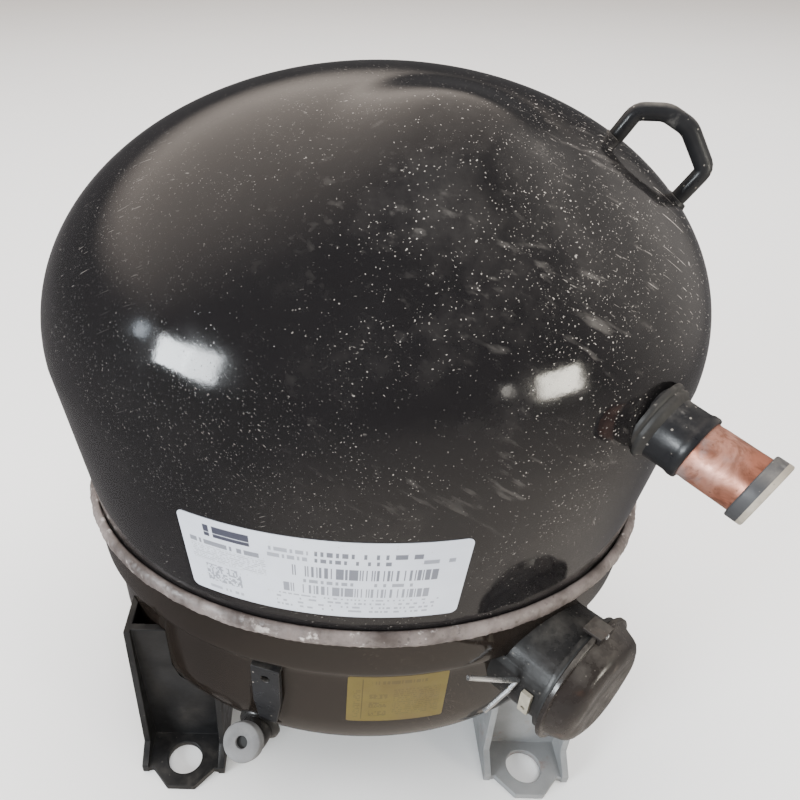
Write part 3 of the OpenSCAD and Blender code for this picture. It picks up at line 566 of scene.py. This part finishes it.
def upper_profile(t):
    side = [(side_r(z) - t, z) for z in (127, 134, 141, 155, 170, 185, 200, 214)]
    dome = [((SHOULDER_R - t) * math.cos(a), SHOULDER_Z + (TOP_Z - SHOULDER_Z - t) * math.sin(a))
            for a in (math.pi / 2 * k / 90 for k in range(90))]
    return side + dome + [(0.0, TOP_Z - t)]


def lower_profile(t):
    corners = [(80, BASE_Z + t), (BODY_R - 28, BASE_Z + t), (BODY_R - 17 - t / 2, BASE_Z + 3 + t),
               (BODY_R - 8 - t * 0.8, BASE_Z + 10 + t * 0.6), (BODY_R - 2 - t, BASE_Z + 20),
               (BODY_R - t, BASE_Z + 30),
               (BODY_R - t, 80), (BODY_R - t, BODY_TOP - 2), (BODY_R - t + 0.8, BODY_TOP + 1),
               (RIM_R - t - 0.8, RIM_BOTTOM - 1), (RIM_R - t, RIM_BOTTOM + 2), (RIM_R - t, RIM_Z)]
    return [(0.0, BASE_Z + t), (50, BASE_Z + t)] + chaikin(corners, 2)


def build_shell():
    outer, inner = upper_profile(0), upper_profile(WALL)
    rings = shell_rings(list(reversed(inner)), True) + shell_rings(outer, True)
    upper = add("upper_shell_skin", skin(rings), "shell_paint", ["upper_shell"])
    cut(upper, (STUB, 12.75, 30))
    rings = shell_rings(lower_profile(0)) + shell_rings(list(reversed(lower_profile(WALL))))
    lower = add("lower_shell_skin", skin(rings), "lower_paint", ["lower_shell"])
    cut(lower, (TERMINAL, 17.5, 25), (ELBOW, 8.0, 20))


def build_bead():
    """The girth weld: an uneven roll with overlapping ripples."""
    count, section = 900, [(140.0, 139.1), (142.4, 139.0), (144.2, 139.5), (145.0, 141.2), (144.9, 143.2),
                           (144.2, 145.0), (142.9, 146.4), (141.2, 147.0), (140.4, 146.9)]
    rings = []
    for i in range(count):
        a = TAU * i / count
        spot = Vector((math.cos(a), RATIO * math.sin(a), 0)) * 30
        ripple = 0.22 * abs(math.sin(a * 120 + 3 * noise.noise(spot * 0.4)))
        swell = 0.55 * noise.noise(spot * 0.6) + 0.3 * noise.noise(spot * 2.3)
        loop = []
        for r, z in section:
            weight = smooth((r - 141.0) / 3.0)
            out = min(145.1, r + weight * (swell - ripple - 0.3))
            rise = z + (0.35 * swell - 0.1 if z > 144 else 0.0)
            loop.append((out * math.cos(a), RATIO * out * math.sin(a), rise))
        rings.append(loop)
    add("weld_bead_roll", skin(rings, closed=True), "weld_metal", ["weld_bead"], sharp=80)


def build_handle():
    plane = (Matrix.Translation((91.5, -10, 312)) @ Matrix.Rotation(math.radians(-12.2), 4, "Z")
             @ Matrix.Rotation(math.radians(36.4), 4, "Y"))
    fillet, bar_r = 2.6, 3.25
    outline = ((0, -4), (-1.8, 10), (6.8, 16.5), (17, 18), (33.5, 12.5), (35, 0), (35, -4))
    corners = [Vector(c) for c in outline]
    path = [corners[0]]
    for a, b, c in zip(corners, corners[1:], corners[2:]):
        start, end = b + (a - b).normalized() * fillet, b + (c - b).normalized() * fillet
        path += [start.lerp(b, t).lerp(b.lerp(end, t), t) for t in (0, 0.25, 0.5, 0.75, 1)]
    path = [Vector((v.x, 0, v.y)) for v in path + [corners[-1]]]
    bar = sweep(path, bar_r, 20, 0.9, Vector((0, 1, 0)))
    add("lifting_handle_bar", bar, "handle_paint", ["lifting_handle"], plane)
    swell = [(0.0, -4)] + [(5.2 - 0.05 * j * j, -4 + 0.9 * j) for j in range(5)] + [(0.0, -0.2)]
    for k, x in enumerate((0, 35)):
        foot = plane @ Matrix.Translation((x, 0, 0))
        add(f"handle_weld_{k}", lathe(swell, 32, False), "handle_paint", (), foot)


# ---------- tubes ----------

def build_suction():
    tube, inner = 11.1, 9.6
    sleeve = [(11.12, -8), (12.6, -8), (12.6, 2.4), (12.35, 4.0), (12.3, 11.5), (12.5, 12.6), (12.75, 13.4),
              (12.75, 15.2), (12.4, 15.9), (11.9, 16.0), (11.12, 16.0)]
    add("suction_socket_skin", lathe(sleeve, 96), "handle_paint", ["suction_sleeve"], STUB, 50)
    collar = [(12.4, -3.2), (15.4, -3.2), (15.6, -2.2), (15.3, -1.2), (14.5, -0.9), (14.3, -0.3), (14.7, 0.4),
              (14.5, 1.3), (13.6, 1.9), (12.9, 2.9), (12.4, 3.2)]

    def uneven(x, y, z):
        grow_x, grow_y = (1 + 0.012 * noise.noise(Vector(v) * 0.35) for v in ((x, y, z), (y, z, x)))
        return x * grow_x, y * grow_y, z

    rings = [[uneven(*point) for point in ring(r, z, 120)] for r, z in collar]
    weld_ring = add("suction_weld_ring", skin(rings, closed=True), "handle_paint", (), STUB, 60)
    weld_ring.data.materials[0] = DUSTY
    outer = [(inner, -14), (tube, -14), (tube, 16.2), (tube - 0.12, 17.4), (tube, 19), (tube, 26),
             (tube - 0.05, 31), (tube, 35.5), (tube, 39.2), (tube - 0.4, 39.5), (inner + 0.3, 39.5),
             (inner, 39.2)]
    add("suction_tube", lathe(outer, 96), "copper", ["suction_stub"], STUB, 50)
    rim = 12.8
    band = [(11.4, 36.0), (12.3, 36.0), (12.7, 36.3), (rim, 36.9), (rim, 40.3), (12.2, 40.4), (11.4, 40.4)]
    dark = add("suction_cap_band", lathe(band, 96), "plug_rubber", (), STUB, 50, body="suction_cap")
    dark.data.materials[0] = DARK_CAP
    face = [(0.0, 40.0), (11.4, 40.0), (11.4, 40.4), (12.2, 40.4), (rim, 40.34), (rim, 41.8), (12.5, 42.3),
            (11.9, 42.5), (11.3, 42.3), (10.9, 41.9), (0.0, 41.9)]
    add("suction_cap_face", lathe(face, 96, False), "plug_rubber", ["suction_plug"], STUB, 50,
        body="suction_cap")


def build_discharge():
    outer_r, inner_r, start, straight_end, across = 7.95, 6.4, -16, 8, Vector((0, 1, 0))
    path = [Vector((0, 0, z)) for z in (start, start / 2, 0, STRAIGHT)]
    for k in range(1, 11):
        a = BEND * k / 10
        path.append(Vector((-BEND_R * (1 - math.cos(a)), 0, STRAIGHT + BEND_R * math.sin(a))))
    along = Vector((-math.sin(BEND), 0, math.cos(BEND)))
    path += [path[-1] + along * s for s in (3, 6, straight_end)]
    outer, inner = [], []
    for i, p in enumerate(path):
        ahead = (path[min(i + 1, len(path) - 1)] - path[max(i - 1, 0)]).normalized()
        side = across.cross(ahead).normalized()
        outer.append(circle_at(p, outer_r, side, across, 48))
        inner.append(circle_at(p, inner_r, side, across, 48))
    tube = skin(outer + inner[::-1], closed=True)
    add("discharge_tube", tube, "dark_steel", ["discharge_elbow"], ELBOW, 50)
    collar = [(7.97, -1.5), (11.0, -1.5), (10.6, 0.4), (9.4, 1.3), (8.4, 1.7), (7.97, 1.7)]
    add("discharge_weld", lathe(collar, 64), "dark_steel", (), ELBOW, 60)
    cap = [(3.0, 8.4), (8.25, 8.4), (8.25, 4.0), (9.0, 4.0), (9.4, 4.4), (9.45, 5.2), (9.45, 10.2),
           (9.2, 10.8), (8.7, 11.0), (3.5, 11.0), (3.1, 10.85), (3.0, 10.5)]
    add("discharge_cap_ring", lathe(cap, 72), "grey_rubber", ["discharge_plug"], ELBOW_END, 50,
        body="discharge_cap")
    # The black disc at the bottom of the cap's hole is painted shade: it stands for the dark inside of the
    # open hole.
    hole = [(0.0, 8.55), (2.98, 8.55), (2.98, 8.8), (0.0, 8.8)]
    add("discharge_cap_hole_shade_disc", lathe(hole, 48, False), "black_rubber", (), ELBOW_END, 50, body="discharge_cap")


# ---------- electrical box cover ----------

def build_cover():
    """Dished pressing with a flat rim, a little uneven in its middle."""
    thick, outline = 1.3, [
        (28.2, 23.2), (32.6, 23.2), (33.0, 23.6), (33.0, 25.2), (32.6, 25.6), (31.4, 25.7), (30.8, 25.9),
        (30.2, 27.0), (28.9, 30.0), (27.9, 32.4), (26.8, 34.0), (25.0, 35.2), (22.5, 36.2), (19.5, 36.5),
        (16.0, 36.3), (11.5, 35.9), (6.5, 35.7), (0.0, 35.6)]
    inside = [(max(r - thick, 0.0), z - thick) for r, z in reversed(outline[6:])] + [(28.2, 25.0)]
    rings = []
    for r, z in inside + outline:
        if r < 1e-6:
            rings.append([(0.0, 0.0, z)])
            continue
        dent = 0.35 if 5 < r < 24 else 0.0
        rings.append([(x, y, h + dent * noise.noise(Vector((x, y, 3)) * 0.09))
                      for x, y, h in ring(r, z, 144)])
    dome = [(0.0, 27.3), (1.5, 27.3), (1.5, 27.7), (1.2, 28.1), (0.6, 28.35), (0.0, 28.4)]
    for k, x in enumerate((32.9, -32.9)):
        add(f"clip_rivet_{k}", lathe(dome, 24, False), "bright_steel", (),
            TERMINAL @ Matrix.Translation((x, 0, 0)), 60, body="box_cover")
    add("terminal_cover_pressing", skin(rings), "cover_paint", ["terminal_cover"], TERMINAL, 40,
        body="box_cover")


# ---------- labels ----------

def label(name, slot, node, a0, a1, z0, z1, corner, radius):
    """A thin curved patch with rounded corners. Its face has 0 to 1 coordinates."""
    across, rows = 96, []
    height, width = z1 - z0, math.radians(a1 - a0) * radius(0.5 * (z0 + z1))
    steps = [corner * (1 - math.cos(math.pi / 2 * k / 8)) for k in range(8)]
    heights = steps + [corner + (height - 2 * corner) * k / 10 for k in range(11)]
    heights += [height - s for s in reversed(steps)]
    for h in heights:
        d = min(h, height - h)
        inset = corner - math.sqrt(max(0.0, corner ** 2 - (corner - min(d, corner)) ** 2))
        rows.append((h / height, inset / width))
    verts, uvs, faces = [], [], []
    for proud in (0.34, 0.04):
        for v, inset in rows:
            for k in range(across + 1):
                u = inset + (1 - 2 * inset) * k / across
                a, z = math.radians(a0 + (a1 - a0) * u), z0 + height * v
                r = radius(z) + proud
                verts.append((r * math.sin(a), -RATIO * r * math.cos(a), z))
                uvs.append((u, v))
    w, count = across + 1, len(rows) * (across + 1)
    for j in range(len(rows) - 1):
        for k in range(across):
            a = j * w + k
            faces.append((a, a + 1, a + w + 1, a + w))
            faces.append((count + a, count + a + w, count + a + w + 1, count + a + 1))
    last = len(rows) - 1
    border = [k for k in range(across)] + [j * w + across for j in range(last)]
    border += [last * w + k for k in range(across, 0, -1)] + [j * w for j in range(last, 0, -1)]
    for a, b in zip(border, border[1:] + border[:1]):
        faces.append((a, count + a, count + b, b))
    add(name, (verts, faces), slot, [node], None, 50, uvs)


def build_labels():
    label("rating_label_sheet", "label_white", "rating_label", -31.2, 14.7, 156, 201.5, 3.0, side_r)
    label("notice_label_sheet", "label_yellow", "notice_label", -2.8, 16.7, 76, 111, 1.2, lambda z: BODY_R)


# ---------- camera, light, floor ----------

def build_camera():
    data = bpy.data.cameras.new("camera")
    data.sensor_width, data.lens = 36.0, 31.38
    data.shift_x, data.shift_y = 0.116, 0.080
    data.clip_start, data.clip_end = 0.01, 50
    place = Vector((-18.3, -300.32, 379.9)) * MM
    pitch, yaw, roll = (math.radians(a) for a in (38.35, -1.89, -0.33))
    ahead = Vector((math.sin(yaw) * math.cos(pitch), math.cos(yaw) * math.cos(pitch), -math.sin(pitch)))
    right = Vector((math.cos(yaw), -math.sin(yaw), 0))
    up = right.cross(ahead)
    right, up = (math.cos(roll) * right + math.sin(roll) * up, -math.sin(roll) * right + math.cos(roll) * up)
    turn = Matrix((right, up, -ahead)).transposed().to_4x4()
    cam = bpy.data.objects.new("camera", data)
    cam.matrix_world = Matrix.Translation(place) @ turn
    bpy.context.scene.collection.objects.link(cam)
    bpy.context.scene.camera = cam


def softbox(name, place, aim, size, power, colour=(1, 1, 1), glossy=True):
    data = bpy.data.lights.new(name, "AREA")
    data.shape, data.size, data.size_y = "RECTANGLE", size[0], size[1]
    data.energy, data.color = power, colour
    obj = bpy.data.objects.new(name, data)
    obj.location = place
    obj.rotation_mode = "QUATERNION"
    obj.rotation_quaternion = (Vector(place) - Vector(aim)).to_track_quat("Z", "Y")
    obj.visible_glossy = glossy
    bpy.context.scene.collection.objects.link(obj)


def build_studio():
    world = bpy.data.worlds.new("studio")
    bpy.context.scene.world = world
    world.use_nodes = True
    tree = world.node_tree
    back = tree.nodes["Background"]
    place = tree.nodes.new("ShaderNodeTexCoord").outputs["Generated"]

    def toward(direction, low, high):
        dot = tree.nodes.new("ShaderNodeVectorMath")
        dot.operation = "DOT_PRODUCT"
        tree.links.new(place, dot.inputs[0])
        dot.inputs[1].default_value = Vector(direction).normalized()
        span = tree.nodes.new("ShaderNodeMapRange")
        span.interpolation_type = "SMOOTHSTEP"
        tree.links.new(dot.outputs["Value"], span.inputs["Value"])
        span.inputs["From Min"].default_value, span.inputs["From Max"].default_value = low, high
        return span.outputs["Result"]

    def mix(fac, a, b):
        made = tree.nodes.new("ShaderNodeMix")
        made.data_type = "RGBA"
        tree.links.new(fac, made.inputs[0])
        for index, value in ((6, a), (7, b)):
            if hasattr(value, "is_output"):
                tree.links.new(value, made.inputs[index])
            else:
                made.inputs[index].default_value = (*value, 1)
        return made.outputs[2]

    def times(a, b):
        made = tree.nodes.new("ShaderNodeMath")
        made.operation = "MULTIPLY"
        tree.links.new(a, made.inputs[0])
        tree.links.new(b, made.inputs[1])
        return made.outputs[0]

    ceiling = times(toward((-0.55, 0.70, 0.55), 0.30, 0.95), toward((0, 0, 1), 0.22, 0.50))
    below = mix(toward((0.35, -0.45, -0.70), 0.45, 1.0), (0.20, 0.19, 0.19), (0.95, 0.86, 0.76))
    above = mix(ceiling, (0.085, 0.083, 0.085), (2.1, 1.84, 1.62))
    sky = mix(toward((0, 0, 1), -0.25, 0.05), below, above)
    sky = mix(toward((0.93, 0.25, 0.33), 0.72, 1.0), sky, (0.95, 0.88, 0.82))
    tree.links.new(sky, back.inputs["Color"])
    back.inputs["Strength"].default_value = 1.0

    size = 5.0
    mesh = bpy.data.meshes.new("floor")
    corners = [(x * size, y * size, 0) for x, y in ((-1, -1), (1, -1), (1, 1), (-1, 1))]
    mesh.from_pydata(corners, [], [(0, 1, 2, 3)])
    floor = bpy.data.objects.new("floor", mesh)
    bpy.context.scene.collection.objects.link(floor)
    paper = Paint("floor_paper")
    tone = paper.mix(paper.noise(3, 2), (0.90, 0.90, 0.90), (0.93, 0.93, 0.925))
    mesh.materials.append(paper.done(tone, paper.span(paper.noise(8, 2), 0, 1, 0.75, 0.85)))
    floor.visible_glossy = False

    softbox("overhead", (0.3, 0.2, 3.2), (0, 0.4, 0), (3.6, 3.6), 235, glossy=False)
    softbox("front_fill", (0.4, -2.4, 1.5), (0, 0, 0.15), (1.6, 1.2), 24, glossy=False)
    # Each window stands 2 m out from the place on the dome that mirrors it into the camera
    left, right = Vector((-65, -102, 265)) * MM, Vector((57, -107, 261)) * MM
    for k, (az, tall) in enumerate(((-61, 0.42), (-50, 0.48))):
        out = Vector((math.sin(math.radians(az)), -math.cos(math.radians(az)), 0.19))
        softbox(f"left_window_{k}", left + 2 * out, left, (0.40, tall), 34.0, (0.90, 0.96, 1.0))
    windows = (("left_gap", left, (-0.96, -0.25, 0.24), (0.18, 0.2), 1.6, (0.80, 0.90, 1.0)),
               ("right_window", right, (0.82, -0.57, 0.07), (0.46, 0.34), 24.0, (1.0, 0.95, 0.82)),
               ("right_gap", right, (0.62, -0.78, 0.10), (0.10, 0.18), 0.6, (1.0, 0.95, 0.86)))
    for name, spot, out, size, power, colour in windows:
        softbox(name, spot + 2 * Vector(out), spot, size, power, colour)


dress_nodes()
build_shell()
build_bead()
build_handle()
build_suction()
build_discharge()
build_cover()
build_labels()
build_camera()
build_studio()
